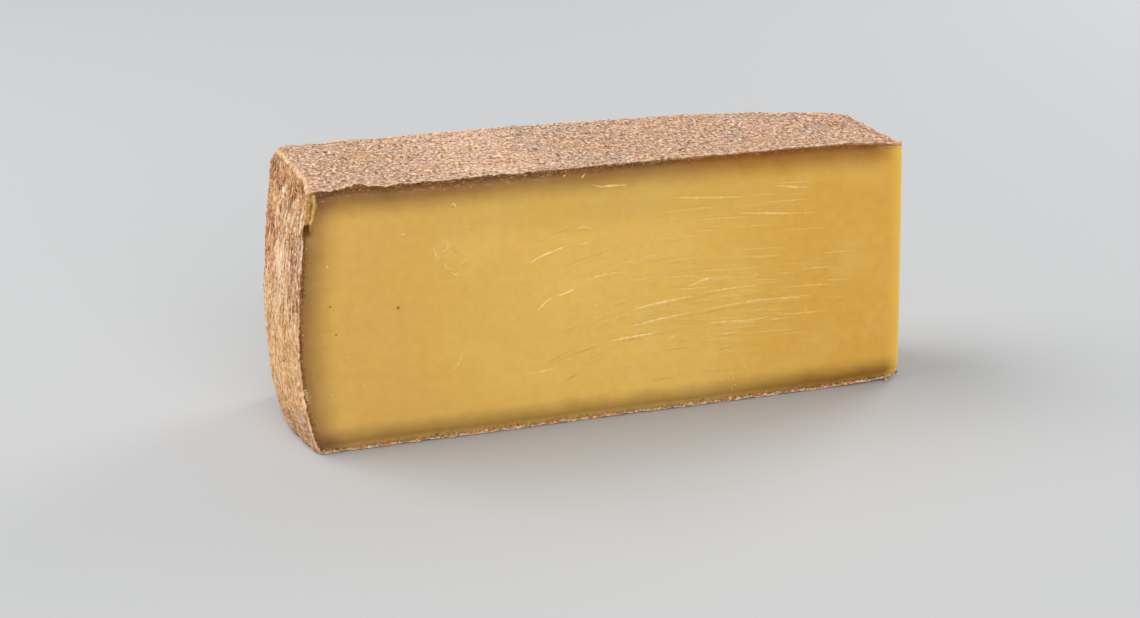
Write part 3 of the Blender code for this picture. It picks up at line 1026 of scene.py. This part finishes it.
class Finish:
    """A material and the nodes of its tree."""

    def __init__(self, name):
        self.material = bpy.data.materials.new(name)
        self.material.use_nodes = True
        self.tree = self.material.node_tree
        self.shader = self.tree.nodes["Principled BSDF"]

    def put(self, value, socket):
        """Links an output to a socket, or sets the socket to a value."""
        if isinstance(value, Socket):
            self.tree.links.new(value.output, socket)
        else:
            socket.default_value = value

    def add(self, kind, settings, inputs, output=0):
        """Adds a node. Its settings are made first, then its inputs, by name or by number."""
        node = self.tree.nodes.new("ShaderNode" + kind)
        for name, value in settings.items():
            setattr(node, name, value)
        for key, value in inputs.items():
            self.put(value, node.inputs[key])
        return Socket(self, node.outputs[output])

    def place(self):
        """The place on the slab in the frame, in millimetres."""
        place = self.add("TexCoord", {}, {}, "Object")
        return self.add("VectorMath", {"operation": "SCALE"}, {0: place, "Scale": 1 / MM})

    def split(self, vector):
        """The vector's three parts."""
        node = self.tree.nodes.new("ShaderNodeSeparateXYZ")
        self.put(vector, node.inputs[0])
        return [Socket(self, output) for output in node.outputs]

    def moved(self, place, shift):
        return self.add("VectorMath", {"operation": "ADD"}, {0: place, 1: shift})

    def stretched(self, place, sizes):
        """The place divided by a grain size along each axis."""
        inverse = [1 / size for size in sizes]
        return self.add("VectorMath", {"operation": "MULTIPLY"}, {0: place, 1: inverse})

    def distance(self, place, spot):
        return self.add("VectorMath", {"operation": "DISTANCE"}, {0: place, 1: spot}, "Value")

    def noise(self, place, size=1.0, detail=2.0, roughness=0.5):
        inputs = {"Vector": place, "Scale": 1 / size, "Detail": detail, "Roughness": roughness}
        return self.add("TexNoise", {}, inputs, "Fac")

    def rise(self, value, low, high, to_low=0.0, to_high=1.0):
        """A smooth step of value between low and high."""
        inputs = {0: value, 1: low, 2: high, 3: to_low, 4: to_high}
        return self.add("MapRange", {"interpolation_type": "SMOOTHSTEP"}, inputs)

    def band(self, value, centre, reach):
        """1 where value is centre, falling to 0 at reach from it."""
        off = self.add("Math", {"operation": "ABSOLUTE"}, {0: value - centre})
        return self.rise(off, 0.0, reach, 1.0, 0.0)

    def kept(self, name, output="Fac"):
        """Values stored on the mesh."""
        return self.add("Attribute", {"attribute_name": name}, {}, output)

    def mix(self, share, colour, other, blend="MIX"):
        settings = {"data_type": "RGBA", "blend_type": blend}
        return self.add("Mix", settings, {0: share, 6: colour, 7: other}, 2)

    def layered(self, colour, *layers, blend="MIX"):
        """The colour with a share of each layer's tint over it, from the first layer to the last."""
        for share, tint in layers:
            colour = self.mix(share, colour, tint, blend)
        return colour

    def shaded(self, colour, shade):
        """The colour times a shade."""
        grey = self.add("CombineColor", {}, {0: shade, 1: shade, 2: shade})
        return self.mix(1.0, colour, grey, "MULTIPLY")

    def bump(self, height, distance, strength=1.0, normal=None):
        inputs = {"Height": height, "Distance": distance, "Strength": strength}
        if normal is not None:
            inputs["Normal"] = normal
        return self.add("Bump", {}, inputs)

    def set(self, **values):
        """Sets the shader's own sockets: Base_Color stands for the socket Base Color."""
        for name, value in values.items():
            self.put(value, self.shader.inputs[name.replace("_", " ")])


HEEL_X = (SLAB_HIGH.x - SLAB_LENGTH) / MM  # the blank's heel in the frame, in mm
FRONT_Y = -SLAB_DEPTH / 2 / MM
# The pinholes are painted: dark spots of painted shade where the mesh has no holes
PINHOLES = ((27.5, 48.5, 0.6), (5.2, 51.4, 0.4), (6.8, 41.5, 0.4))  # x from the heel, height and radius

PASTE_LEFT = screen(211, 166, 81)
PASTE_MIDDLE = screen(221, 178, 86)
PASTE_RIGHT = screen(211, 162, 67)
PASTE_PALE = screen(226, 188, 104)
# Painted light: a glow of light shining through the thin right end, and a painted highlight on its upright
# edges
PAINTED_END_GLOW = screen(228, 182, 78)
PAINTED_END_HIGHLIGHT = screen(234, 204, 130)
TOP_BAND = (0.27, 0.16, 0.15, 1.0)
TOP_BAND_RIGHT = (0.34, 0.17, 0.01, 1.0)
TOP_SHADE = (0.88, 0.87, 0.9, 1.0)
FOOT_BAND = (0.55, 0.51, 0.52, 1.0)
# Towards the right, the foot's brown band also carries painted shade along the foot
FOOT_BAND_AND_SHADE_RIGHT = (0.42, 0.36, 0.34, 1.0)
HEEL_BAND = (0.46, 0.38, 0.45, 1.0)
# Painted shade, brown, in the gaps between rind and paste and in the hole
PAINTED_HOLLOW_SHADE = screen(140, 78, 24)
TEAR_GOLD = screen(208, 154, 68)
TEAR_PALE = screen(232, 186, 124)
# Painted shade of the pinholes
PAINTED_PINHOLE_SHADE = screen(120, 76, 26)
# The seams beside the rind: browner paste, and painted shade under the rind's edge and in the heel's
# crevice
SEAM_BROWN_AND_SHADE = screen(104, 62, 22)
SHRED_TAN = screen(184, 138, 82)


def paste_finish():
    """Golden paste, browner towards the rind, more orange to the right, waxy and a little clear. Painted
    light on it: a glow and a highlight along the right end's upright edges, and painted shade at the seams
    by the rind, along the foot to the right, in the gaps, the hole and the pinholes.
    """
    paste = Finish("cheese paste")
    place = paste.place()
    x = paste.split(place)[0]
    heel_gap, foot_gap, top_gap = paste.split(paste.kept("rind_gaps", "Vector"))
    hollow_shade, flap, to_end = paste.split(paste.kept("marks", "Vector"))
    clouds = paste.noise(place, 26.0, 3.0, 0.55)
    mottle = paste.noise(place, 3.5, 4.0, 0.6)
    wander = (paste.noise(place, 9.0, 3.0, 0.55) - 0.5) * 5.0
    to_right = paste.rise(x, 0.0, 50.0)
    from_end = paste.rise(to_end, 1.0, 14.0) * 0.75 + 0.25
    colour = paste.layered(
        PASTE_LEFT,
        (paste.rise(x, -85.0, -10.0), PASTE_MIDDLE),
        (paste.rise(x, 5.0, 85.0), PASTE_RIGHT),
        (paste.rise(clouds, 0.45, 0.75) * 0.4, PASTE_PALE),
    )
    colour = paste.shaded(colour, paste.rise(mottle, 0.25, 0.75, 0.96, 1.04))
    top_band = paste.mix(to_right, TOP_BAND, TOP_BAND_RIGHT)
    # The foot's band turns darker to the right: browner paste with painted shade over it
    foot_band_and_shade = paste.mix(paste.rise(x, 45.0, 78.0), FOOT_BAND, FOOT_BAND_AND_SHADE_RIGHT)
    colour = paste.layered(
        colour,
        (paste.band(top_gap + wander, 14.0, 11.0) * paste.band(x, -5.0, 85.0), TOP_SHADE),
        (paste.rise(top_gap + wander * 0.5, 0.0, 12.5, 1.0, 0.0) * from_end, top_band),
        (paste.rise(foot_gap + wander * 0.7, 3.0, 10.4, 1.0, 0.0), foot_band_and_shade),
        (paste.rise(heel_gap + wander * 0.6, 0.0, 13.0, 1.0, 0.0), HEEL_BAND),
        blend="MULTIPLY",
    )
    tear = paste.mix(paste.rise(paste.noise(place, 1.6, 3.0, 0.6), 0.4, 0.6), TEAR_GOLD, TEAR_PALE)
    ripple = (paste.noise(place, 1.6, 4.0, 0.7) - 0.5) * 6.0
    top_seam = (0.85 - to_right * 0.5) * from_end
    shreds = paste.noise(paste.stretched(place, (2.2, 2.0, 1.0)), 1.0, 4.0, 0.7)
    shreds = paste.rise(shreds, 0.54, 0.6) * paste.rise(top_gap + ripple, 4.2, 2.6)
    colour = paste.layered(
        colour,
        # Painted glow and painted highlight near the right end's upright edges
        (paste.rise(to_end, 0.0, 5.5, 0.9, 0.0), PAINTED_END_GLOW),
        (paste.rise(to_end, 0.0, 1.1, 0.7, 0.0), PAINTED_END_HIGHLIGHT),
        (flap, tear),
        # Dark seams along the top, heel and foot: browner paste and painted shade under the rind's edge
        (paste.rise(top_gap + ripple, 2.3, 0.9) * top_seam * (1.0 - flap), SEAM_BROWN_AND_SHADE),
        (paste.rise(heel_gap + ripple, 2.2, 0.8) * 0.55 * (1.0 - flap), SEAM_BROWN_AND_SHADE),
        (paste.rise(foot_gap + ripple, 2.2, 0.8) * 0.4 * (1.0 - flap), SEAM_BROWN_AND_SHADE),
        (shreds * paste.rise(x, 20.0, -30.0) * 0.6, SHRED_TAN),
    )
    # Painted shade of the pinholes
    for slab_x, up, radius in PINHOLES:
        off = paste.distance(place, (HEEL_X + slab_x, FRONT_Y, up))
        colour = paste.mix(paste.rise(off, radius * 0.5, radius * 1.3, 0.8, 0.0), colour, PAINTED_PINHOLE_SHADE)
    # Painted shade in the gaps and the hole
    colour = paste.mix(paste.rise(hollow_shade, 0.15, 0.7), colour, PAINTED_HOLLOW_SHADE)
    smears = paste.noise(paste.stretched(place, (16.0, 16.0, 1.6)), 1.0, 4.0, 0.6)
    grain = paste.noise(place, 0.8, 3.0, 0.6)
    normal = paste.bump(smears, 0.12 * MM, 0.6)
    normal = paste.bump(grain, 0.04 * MM, 0.5, normal)
    paste.set(Base_Color=colour, Roughness=paste.rise(mottle, 0.2, 0.8, 0.4, 0.54), Normal=normal)
    paste.set(Subsurface_Weight=0.25, Subsurface_Radius=(1.0, 0.5, 0.15), Subsurface_Scale=2.0 * MM)
    paste.set(IOR=1.45, Specular_IOR_Level=0.28)
    return paste.material


# Painted shade of the knife's grooves
MARK_GROOVE_SHADE = screen(192, 136, 50)
MARK_DULL = screen(219, 174, 84)
MARK_PALE = screen(246, 210, 140)


def mark_finish():
    """The slivers and grains of paste that the knife drew up, and the painted shade of its grooves on flat
    dark slivers.
    """
    mark = Finish("knife marks")
    place = mark.place()
    tone = mark.kept("tone")
    broken = mark.noise(place, 2.2, 3.0, 0.65)
    pale = mark.rise(tone, 0.0, 1.0) * mark.rise(broken, 0.4, 0.58, 0.4, 1.0)
    # Tones below 0 are painted groove shade
    colour = mark.layered(MARK_DULL, (mark.rise(tone, 0.0, -1.0), MARK_GROOVE_SHADE), (pale, MARK_PALE))
    mark.set(Base_Color=colour, Roughness=mark.rise(broken, 0.3, 0.7, 0.35, 0.5))
    mark.set(Normal=mark.bump(broken, 0.05 * MM, 0.5), Specular_IOR_Level=0.35)
    return mark.material


TOP_TAN = screen(180, 143, 113)
TOP_PINK = screen(190, 145, 124)
TOP_GREY = screen(166, 144, 122)
TOP_ORANGE = screen(192, 142, 100)
TOP_LIGHT = screen(218, 180, 149)
HEEL_LOW = screen(242, 184, 118)
HEEL_BACK_LOW = screen(244, 206, 158)
HEEL_HIGH = screen(220, 164, 114)
HEEL_ORANGE = screen(208, 138, 76)
HEEL_TOP = screen(200, 134, 74)
HEEL_PALE = screen(255, 218, 176)
HEEL_FOOT = screen(208, 162, 114)
HEEL_PLUM = screen(168, 112, 82)
STREAK_DARK = screen(106, 56, 20)
STREAK_PALE = screen(254, 224, 184)

# Single spots on the heel: x, y and z in mm from the blank's origin, the radius and the tint
HEEL_SPOTS = (
    (-1.4, 37.0, 80.5, 1.4, screen(250, 230, 204)),
    (-4.9, 3.9, 12.2, 2.4, screen(206, 186, 160)),
)

GRAIN_PALE = screen(244, 212, 182)
# The dark of the grain's specks, also used as painted shade in the grain's low points
GRAIN_DARK_AND_SHADE = screen(96, 62, 38)
HEEL_GRAIN_DARK_AND_SHADE = screen(116, 66, 24)
WORN_PALE = screen(240, 206, 168)
RIM_DARK = screen(114, 70, 34)
RIM_LIGHT = screen(186, 142, 98)
FOOT_ORANGE = screen(170, 110, 62)
FOOT_PALE = screen(226, 190, 146)
END_RUST = screen(180, 116, 76)


def top_colour(rind, place, x):
    """The top's pinkish tan with its grey, pink and orange patches, lighter along the middle."""
    patches = rind.noise(place, 9.0, 3.0, 0.6)
    others = rind.noise(rind.moved(place, (71.0, 13.0, 5.0)), 12.0, 3.0, 0.6)
    return rind.layered(
        TOP_TAN,
        (rind.band(x, -38.0, 36.0) * 0.75, TOP_LIGHT),
        (rind.rise(patches, 0.5, 0.62) * 0.8, TOP_PINK),
        (rind.rise(others, 0.52, 0.66) * 0.8, TOP_GREY),
        (rind.rise(patches, 0.49, 0.38) * 0.7, TOP_ORANGE),
        (rind.band(x, -14.0, 18.0) * rind.rise(others, 0.4, 0.55) * 0.5, TOP_GREY),
        (rind.rise(x, 84.0, 100.0) * rind.rise(others, 0.42, 0.6) * 0.6, END_RUST),
    )


def heel_colour(rind, place, y, z):
    """The heel's tan, which is rusty at its top, pale in the middle and streaked above half height."""
    wobble = (rind.noise(rind.stretched(place, (5.0, 5.0, 14.0)), 1.0, 3.0, 0.6) - 0.5) * 30.0
    up = z + wobble
    back = y + wobble * 0.5
    pale = rind.band(up, 58.0, 24.0) * rind.band(back, -1.0, 13.0)
    streaks = rind.noise(rind.stretched(place, (2.4, 1.9, 11.0)), 1.0, 5.0, 0.72)
    fibres = rind.noise(rind.stretched(place, (1.4, 1.1, 3.2)), 1.0, 6.0, 0.8)
    rust = rind.noise(rind.stretched(place, (3.0, 2.4, 6.0)), 1.0, 5.0, 0.7)
    strength = rind.rise(z, 30.0, 56.0, 0.5, 1.0)
    return rind.layered(
        HEEL_LOW,
        (rind.rise(back, 2.0, 24.0), HEEL_BACK_LOW),
        (rind.rise(up, 44.0, 58.0), HEEL_HIGH),
        (rind.rise(up, 17.0, 6.0), HEEL_FOOT),
        (rind.rise(up, 40.0, 54.0) * rind.rise(back, 7.0, 15.0) * 0.85, HEEL_ORANGE),
        (pale, HEEL_PALE),
        (rind.band(up, 64.0, 15.0) * rind.rise(back, -9.0, -18.0), HEEL_PLUM),
        (rind.rise(up, 74.0, 83.0), HEEL_TOP),
        (rind.rise(streaks, 0.5, 0.4) * (strength - pale * 0.45), STREAK_DARK),
        (rind.rise(streaks, 0.53, 0.62) * strength, STREAK_PALE),
        (rind.rise(fibres, 0.47, 0.36) * (0.6 - pale * 0.25), STREAK_DARK),
        (rind.rise(fibres, 0.53, 0.62) * 0.8, STREAK_PALE),
        (rind.rise(rust, 0.46, 0.38) * (pale * 0.2 + 0.2), STREAK_PALE),
        (rind.rise(rust, 0.52, 0.62) * (0.8 - pale * 0.45), HEEL_ORANGE),
    )


def rind_finish():
    """Dry, grainy rind: pinkish tan on top, more orange and streaked at the heel, brown where cut, with
    painted shade in the low points of its grain.
    """
    rind = Finish("cheese rind")
    place = rind.place()
    x, y, z = rind.split(place)
    height, wear, at_heel = rind.split(rind.kept("skin", "Vector"))
    depth = rind.kept("rim_depth")
    specks = rind.noise(rind.stretched(place, (1.1, 1.6, 1.2)), 1.0, 5.0, 0.75)
    flecks = rind.noise(rind.moved(place, (9.0, 31.0, 17.0)), 2.6, 5.0, 0.7)
    dark = rind.mix(at_heel, GRAIN_DARK_AND_SHADE, HEEL_GRAIN_DARK_AND_SHADE)
    colour = rind.layered(
        top_colour(rind, place, x),
        (at_heel, heel_colour(rind, place, y, z)),
        (rind.rise(specks, 0.52, 0.6) * (0.85 - at_heel * 0.25), GRAIN_PALE),
        (rind.rise(specks, 0.48, 0.39) * (1.0 - at_heel * 0.4), dark),
        (rind.rise(flecks, 0.44, 0.32) * 0.45, dark),
        (rind.rise(flecks, 0.56, 0.68) * 0.35, GRAIN_PALE),
        # Painted shade in the low points of the grain
        (rind.rise(height, -0.1, -1.3) * 0.45, dark),
    )
    for slab_x, back, up, radius, tint in HEEL_SPOTS:
        off = rind.distance(place, (HEEL_X + slab_x, FRONT_Y + back, up)) + (specks - 0.5) * 3.0
        colour = rind.mix(rind.rise(off, radius, radius * 0.6) * 0.8, colour, tint)
    foot_rim = rind.mix(rind.rise(specks, 0.44, 0.58), FOOT_ORANGE, FOOT_PALE)
    by_tear = rind.rise(x, HEEL_X + 2.4, HEEL_X + 1.4) * rind.rise(z, 77.5, 80.0)
    at_top = rind.rise(z, 70.0, 76.0)
    rim = rind.layered(
        RIM_DARK,
        (rind.rise(specks, 0.42, 0.62), RIM_LIGHT),
        (rind.rise(z, 3.5, 1.5) * 0.85, foot_rim),
        (by_tear * 0.8, TEAR_GOLD),
        (rind.rise(x, 5.0, 40.0) * at_top * 0.65, TOP_ORANGE),
        (rind.rise(x, 99.0, 105.0) * at_top * 0.75, FOOT_PALE),
    )
    colour = rind.layered(colour, (wear * 0.7, WORN_PALE), (rind.rise(depth, 0.12, 0.42), rim))
    fine = rind.noise(place, 0.6, 3.0, 0.7)
    normal = rind.bump(specks, 0.5 * MM, 0.6)
    normal = rind.bump(fine, 0.22 * MM, 0.8, normal)
    rind.set(Base_Color=colour, Normal=normal, Roughness=rind.rise(specks, 0.3, 0.7, 0.8, 0.95))
    rind.set(Specular_IOR_Level=0.2)
    return rind.material


CRUMB_BROWN = screen(130, 88, 52)
CRUMB_TAN = screen(188, 144, 102)
CRUMB_PALE = screen(228, 192, 150)


def crumb_finish():
    """Crumbs of rind, from brown to pale."""
    crumb = Finish("rind crumbs")
    place = crumb.place()
    tone = crumb.kept("tone")
    broken = crumb.noise(place, 0.5, 2.0, 0.6)
    to_tan, to_pale = crumb.rise(tone, 0.0, 0.55), crumb.rise(tone, 0.55, 1.0)
    colour = crumb.layered(CRUMB_BROWN, (to_tan, CRUMB_TAN), (to_pale, CRUMB_PALE))
    colour = crumb.shaded(colour, crumb.rise(broken, 0.3, 0.7, 0.85, 1.1))
    crumb.set(Base_Color=colour, Roughness=crumb.rise(broken, 0.2, 0.8, 0.75, 0.95))
    crumb.set(Normal=crumb.bump(broken, 0.1 * MM, 0.7), Specular_IOR_Level=0.25)
    return crumb.material


HAIR_TAN = screen(200, 156, 100)
HAIR_PALE = screen(230, 194, 144)


def hair_finish():
    """Dry tan fibres."""
    strand = Finish("rind fibres")
    uneven = strand.noise(strand.place(), 1.1, 2.0, 0.6)
    strand.set(Base_Color=strand.mix(strand.rise(uneven, 0.35, 0.65), HAIR_TAN, HAIR_PALE))
    strand.set(Roughness=strand.rise(uneven, 0.3, 0.7, 0.6, 0.8), Specular_IOR_Level=0.3)
    strand.set(Normal=strand.bump(uneven, 0.05 * MM, 0.5))
    return strand.material


# The stage

CAMERA_PLACE = Vector((-107.1, -595.6, 276.9)) * MM  # from the blank's origin, the front foot corner
CAMERA_TURN = math.radians(17.98)
CAMERA_TILT = math.radians(20.62)
FOCAL_LENGTH = 63.16  # millimetres on a sensor 36 mm wide
FLOOR_SIZE = 12.0
FLOOR_COLOUR = screen(180, 180, 180)
FLOOR_ROUGHNESS = 0.8
SKY_COLOUR = (0.92, 0.96, 1.0, 1.0)
SKY_STRENGTH = 0.45

# Each light's place and size in metres, and its power in watts
LIGHTS = (
    ("window", (-1.1, 0.5, 1.5), 1.4, 30.0),
    ("front fill", (-0.1, -1.8, 1.0), 1.6, 27.0),
    ("right back", (1.2, 0.7, 0.7), 0.8, 9.0),
)


def set_camera():
    """The camera that took the photo, as fitted to the slab's outline."""
    data = bpy.data.cameras.new("camera")
    data.lens = FOCAL_LENGTH
    camera = bpy.data.objects.new("camera", data)
    camera.location = to_frame(CAMERA_PLACE)
    camera.rotation_euler = (math.pi / 2 - CAMERA_TILT, 0.0, -CAMERA_TURN)
    bpy.context.scene.collection.objects.link(camera)
    bpy.context.scene.camera = camera


def set_light(name, place, size, power):
    """A square soft light that faces the slab."""
    data = bpy.data.lights.new(name, "AREA")
    data.size = size
    data.energy = power
    light = bpy.data.objects.new(name, data)
    light.location = place
    aim = Vector((0.0, 0.0, WHEEL_HEIGHT / 2)) - Vector(place)
    light.rotation_euler = aim.to_track_quat("-Z", "Y").to_euler()
    bpy.context.scene.collection.objects.link(light)


def set_stage():
    """A plain floor, a soft sky, the lights and the camera."""
    bpy.ops.mesh.primitive_plane_add(size=FLOOR_SIZE)
    floor = bpy.context.object
    floor.name = "floor"
    plain = Finish("floor")
    plain.set(Base_Color=FLOOR_COLOUR, Roughness=FLOOR_ROUGHNESS)
    floor.data.materials.append(plain.material)
    world = bpy.data.worlds.new("studio")
    world.use_nodes = True
    sky = world.node_tree.nodes["Background"]
    sky.inputs["Color"].default_value = SKY_COLOUR
    sky.inputs["Strength"].default_value = SKY_STRENGTH
    bpy.context.scene.world = world
    bpy.context.scene.view_settings.view_transform = "Standard"
    for light in LIGHTS:
        set_light(*light)
    set_camera()


def dress(piece, material):
    """Gives a piece its material, hangs it on the root body and hides the solid that it stands for."""
    piece.data.materials.append(material)
    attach(piece, "root")
    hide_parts("cheese_slab")


def main():
    noise.seed_set(CRUMBLE_SEED)
    marks = mark_finish()
    dress(rind_skin(), rind_finish())
    dress(paste_block(), paste_finish())
    dress(knife_marks(), marks)
    dress(paste_grains(), marks)
    dress(rind_crumbs(), crumb_finish())
    dress(rind_hairs(), hair_finish())
    set_stage()


main()
